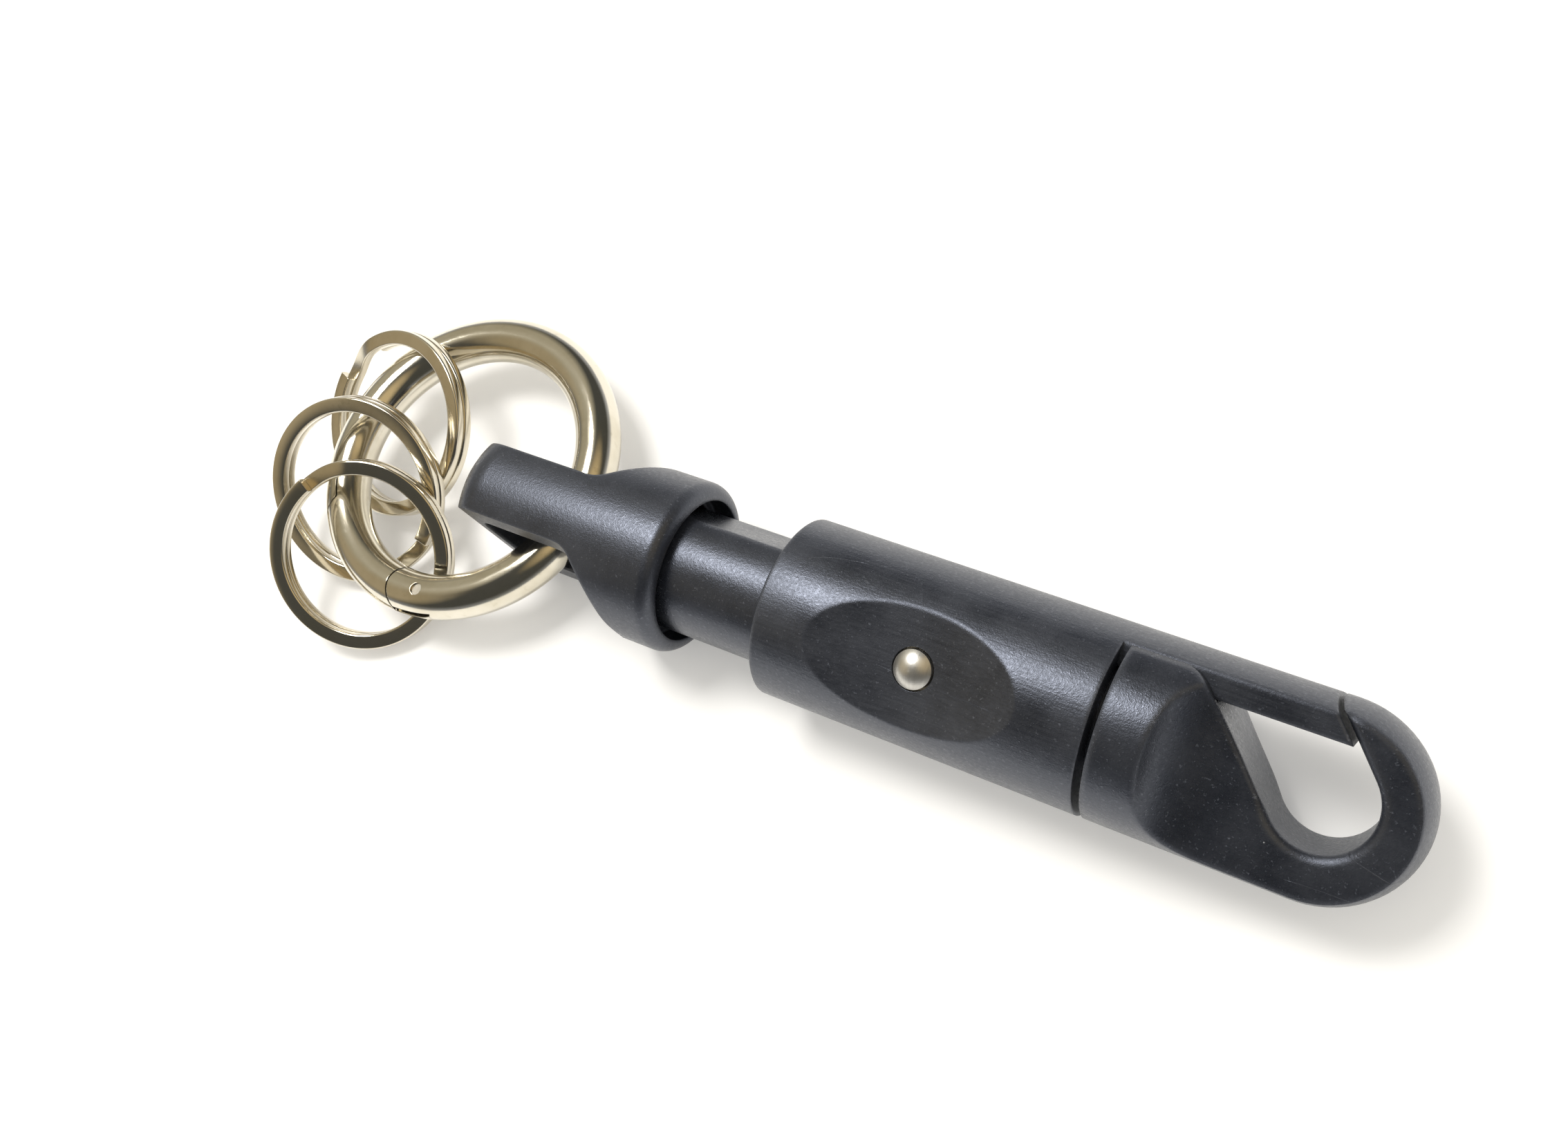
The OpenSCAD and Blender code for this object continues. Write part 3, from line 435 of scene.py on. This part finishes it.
def two_turn_tree():
    """Sweeps a wire of oblong section along two turns, then leans the ring and puts it in its place."""
    tree = bpy.data.node_groups.new("Two-turn ring", "GeometryNodeTree")
    tree.interface.new_socket("Geometry", in_out="OUTPUT", socket_type="NodeSocketGeometry")
    for label, kind in (("Outer radius", "NodeSocketFloat"), ("Wire width", "NodeSocketFloat"),
                        ("Wire thickness", "NodeSocketFloat"), ("Turn height", "NodeSocketFloat"),
                        ("Corner", "NodeSocketFloat"), ("Steps", "NodeSocketInt"),
                        ("Upper end", "NodeSocketFloat"), ("Lower end", "NodeSocketFloat"),
                        ("End gap", "NodeSocketFloat"), ("Lean", "NodeSocketVector"),
                        ("Lean way", "NodeSocketVector"), ("Place", "NodeSocketVector"),
                        ("Finish", "NodeSocketMaterial")):
        tree.interface.new_socket(label, in_out="INPUT", socket_type=kind)
    given = tree.nodes.new("NodeGroupInput").outputs
    result = tree.nodes.new("NodeGroupOutput")
    full = 2.0 * math.pi
    # Where the wire is along its two turns, as an angle: one turn, the slope, and another turn
    slope_run = maths(tree, "SUBTRACT", given["Upper end"], given["Lower end"])
    first = maths(tree, "ADD", given["Upper end"], given["End gap"])
    last = maths(tree, "SUBTRACT", maths(tree, "ADD", given["Lower end"], 2.0 * full), given["End gap"])
    share = tree.nodes.new("GeometryNodeSplineParameter").outputs["Factor"]
    angle = maths(tree, "ADD", first, maths(tree, "MULTIPLY", share, maths(tree, "SUBTRACT", last, first)))
    slope_start = maths(tree, "ADD", given["Lower end"], full)
    slope = maths(tree, "DIVIDE", maths(tree, "SUBTRACT", angle, slope_start), slope_run, clamp=True)
    ease = put(tree, "ShaderNodeMapRange", {"interpolation_type": "SMOOTHSTEP"}, Value=slope, To_Min=0.5,
               To_Max=-0.5)
    rise = maths(tree, "MULTIPLY", ease.outputs["Result"], given["Turn height"])
    middle = maths(tree, "SUBTRACT", given["Outer radius"], maths(tree, "MULTIPLY", given["Wire width"], 0.5))
    point = put(tree, "ShaderNodeCombineXYZ",
                X=maths(tree, "MULTIPLY", middle, maths(tree, "COSINE", angle)),
                Y=maths(tree, "MULTIPLY", middle, maths(tree, "SINE", angle)), Z=rise)
    path = put(tree, "GeometryNodeCurvePrimitiveLine")
    path = put(tree, "GeometryNodeResampleCurve", Curve=path.outputs[0], Count=given["Steps"])
    path = put(tree, "GeometryNodeSetPosition", Geometry=path.outputs[0], Position=point.outputs[0])
    path = put(tree, "GeometryNodeSetCurveNormal", {"mode": "Z_UP"}, Curve=path.outputs[0])
    section = put(tree, "GeometryNodeCurvePrimitiveQuadrilateral", Width=given["Wire width"],
                  Height=given["Wire thickness"])
    section = put(tree, "GeometryNodeFilletCurve", {"mode": "POLY"}, Curve=section.outputs[0], Count=4,
                  Radius=given["Corner"])
    wire = put(tree, "GeometryNodeCurveToMesh", Curve=path.outputs[0],
               Profile_Curve=section.outputs[0], Fill_Caps=True)
    wire = put(tree, "GeometryNodeTransform", Geometry=wire.outputs[0], Rotation=given["Lean"])
    wire = put(tree, "GeometryNodeTransform", Geometry=wire.outputs[0], Rotation=given["Lean way"],
               Translation=given["Place"])
    wire = put(tree, "GeometryNodeRealizeInstances", Geometry=wire.outputs[0])
    wire = put(tree, "GeometryNodeSetMaterial", Geometry=wire.outputs[0], Material=given["Finish"])
    tree.links.new(wire.outputs[0], result.inputs[0])
    return tree


split_nickel = metal("Split rings, polished nickel", plate, 1.0, Base=(0.74, 0.69, 0.58, 1.0),
                     Tarnish=(0.44, 0.36, 0.20, 1.0), Tarnish_share=0.45, Roughness=0.13, Waves=0.35)
two_turns = two_turn_tree()


def split_ring(number, place, lean, lean_way, upper_end, lower_end):
    """One split ring, wound in place by the tree and then made a plain mesh.

    Its middle is given in millimetres, and in degrees how far and which way it leans and where round it
    the wire's upper and lower end lie.
    """
    name = "split_ring_%d" % number
    ring_object = bpy.data.objects.new(name + "_wound", bpy.data.meshes.new(name + "_start"))
    bpy.context.scene.collection.objects.link(ring_object)
    winding = ring_object.modifiers.new("two turns", "NODES")
    winding.node_group = two_turns
    sizes = {
        "Outer radius": 9.5 * MM, "Wire width": 1.5 * MM, "Wire thickness": 0.97 * MM,
        "Turn height": 1.0 * MM, "Corner": 0.22 * MM, "Steps": 320,
        "Upper end": math.radians(upper_end), "Lower end": math.radians(lower_end),
        "End gap": math.radians(1.6), "Lean": (0.0, math.radians(lean), 0.0),
        "Lean way": (0.0, 0.0, math.radians(lean_way)), "Place": [MM * value for value in place],
        "Finish": split_nickel,
    }
    for socket in two_turns.interface.items_tree:
        if socket.in_out == "INPUT":
            winding[socket.identifier] = sizes[socket.name]
    even = ring_object.modifiers.new("even shading", "WEIGHTED_NORMAL")
    even.keep_sharp = True
    bpy.context.view_layer.update()
    depsgraph = bpy.context.evaluated_depsgraph_get()
    wound = bpy.data.meshes.new_from_object(ring_object.evaluated_get(depsgraph))
    ring_object.modifiers.clear()
    ring_object.data = wound
    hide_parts(name)
    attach(ring_object, "split_%d" % number)


split_ring(1, (-96.75, 4.46, -2.796), 27.0, -106.0, 263.0, 231.0)
split_ring(2, (-96.65, -3.66, -1.858), 34.0, -70.0, 50.0, 18.0)
split_ring(3, (-92.66, -9.60, -2.250), 31.0, -53.8, 198.0, 166.0)


# ---------------------------------------------------------------------------------------------
# The table and the light: a white table under one soft lamp over the far left corner, in a room
# that lights the table evenly and that the metal mirrors with dark walls and warm patches.
# ---------------------------------------------------------------------------------------------

# The table lies a hair under the clip and reaches past every view
TABLE_Z = -8.02 * MM
TABLE_HALF = 3.0
PAPER_GLOW = 0.18
table_mesh = bpy.data.meshes.new("table")
table_mesh.from_pydata([(-TABLE_HALF, -TABLE_HALF, TABLE_Z), (TABLE_HALF, -TABLE_HALF, TABLE_Z),
                        (TABLE_HALF, TABLE_HALF, TABLE_Z), (-TABLE_HALF, TABLE_HALF, TABLE_Z)],
                       [], [(0, 1, 2, 3)])
table = bpy.data.objects.new("table", table_mesh)
bpy.context.scene.collection.objects.link(table)
table_paint = bpy.data.materials.new("Table, white")
table_paint.use_nodes = True
paint_tree = table_paint.node_tree
table_shader = paint_tree.nodes["Principled BSDF"]
table_shader.inputs["Base Color"].default_value = (0.86, 0.845, 0.81, 1.0)
table_shader.inputs["Roughness"].default_value = 0.9
# The paper's own brightness, which the camera and the metal see and which lights nothing
table_shader.inputs["Emission Color"].default_value = (0.95, 0.97, 1.0, 1.0)
ray = paint_tree.nodes.new("ShaderNodeLightPath")
seen = maths(paint_tree, "MAXIMUM", ray.outputs["Is Camera Ray"], ray.outputs["Is Glossy Ray"])
paper_glow = maths(paint_tree, "MULTIPLY", seen, PAPER_GLOW)
paint_tree.links.new(paper_glow, table_shader.inputs["Emission Strength"])
table_mesh.materials.append(table_paint)

# The room, pale as a light. The metal mirrors it as dark above a bright band, with three warm patches
ROOM_LIGHT = (0.82, 0.80, 0.76, 1.0)
NEAR_BAND, FAR_BAND = (0.34, 0.35, 0.37, 1.0), (0.60, 0.61, 0.64, 1.0)
UPPER_WALL = (0.068, 0.068, 0.062, 1.0)
WHITE = (1.0, 1.0, 1.0, 1.0)
world = bpy.data.worlds.new("pale room")
bpy.context.scene.world = world
world.use_nodes = True
room_tree = world.node_tree
room = room_tree.nodes["Background"]
direction = room_tree.nodes.new("ShaderNodeTexCoord").outputs["Generated"]
way = put(room_tree, "ShaderNodeSeparateXYZ", Vector=direction).outputs
# The band is brighter on the far side and ends about 17 degrees above the table's level
band = blend_colours(room_tree, spread(room_tree, way["Y"], -0.1, 0.5), NEAR_BAND, FAR_BAND)
mirrored = blend_colours(room_tree, spread(room_tree, way["Z"], 0.0, 0.30), band, UPPER_WALL)
# Three patches, far left, near left and right. Each has the way to it, how near to that way its edge
# and its full tone begin (1 is right on it), and its colour
for way_there, patch_edge, patch_full, colour in (
        ((-0.66, 0.28, 0.70), 0.74, 0.92, (0.44, 0.40, 0.30, 1.0)),
        ((-0.70, -0.45, 0.55), 0.84, 0.96, (0.42, 0.35, 0.23, 1.0)),
        ((0.50, 0.10, 0.86), 0.82, 0.95, (0.66, 0.52, 0.30, 1.0))):
    towards = vector_maths(room_tree, "DOT_PRODUCT", direction, way_there)
    share = spread(room_tree, towards, patch_edge, patch_full)
    mirrored = blend_colours(room_tree, share, mirrored, colour)
room_ray = room_tree.nodes.new("ShaderNodeLightPath")
lit = blend_colours(room_tree, room_ray.outputs["Is Glossy Ray"], ROOM_LIGHT, mirrored)
shown = blend_colours(room_tree, room_ray.outputs["Is Camera Ray"], lit, WHITE)
room_tree.links.new(shown, room.inputs["Color"])
room.inputs["Strength"].default_value = 1.0

# The lamp, which looks at the middle of the clip
AIM = Vector((-0.045, 0.0, 0.0))
LAMP_PLACE = Vector((-0.241, 0.101, 0.515))
lamp = bpy.data.lights.new("large lamp, far left", "AREA")
lamp.shape = "SQUARE"
lamp.size = 0.20
lamp.energy = 2.1
lamp.color = (1.0, 0.99, 0.98)
holder = bpy.data.objects.new("large lamp, far left", lamp)
holder.location = LAMP_PLACE
holder.rotation_euler = (AIM - LAMP_PLACE).to_track_quat("-Z", "Y").to_euler()
bpy.context.scene.collection.objects.link(holder)


# ---------------------------------------------------------------------------------------------
# The camera, near the hook's end and looking down on the clip. Its lens and place were fitted to the
# photograph.
# ---------------------------------------------------------------------------------------------

camera_data = bpy.data.cameras.new("camera")
camera_data.sensor_width = 36.0
camera_data.sensor_fit = "HORIZONTAL"
camera_data.lens = 35.94
camera_data.clip_start = 0.005
camera = bpy.data.objects.new("camera", camera_data)
camera.matrix_world = Matrix((
    (0.855422, -0.301443, 0.421171, 0.009561),
    (0.412871, 0.887855, -0.203102, -0.025372),
    (-0.312715, 0.347627, 0.883948, 0.121940),
    (0.0, 0.0, 0.0, 1.0),
))
bpy.context.scene.collection.objects.link(camera)
bpy.context.scene.camera = camera
bpy.context.scene.view_settings.view_transform = "Standard"
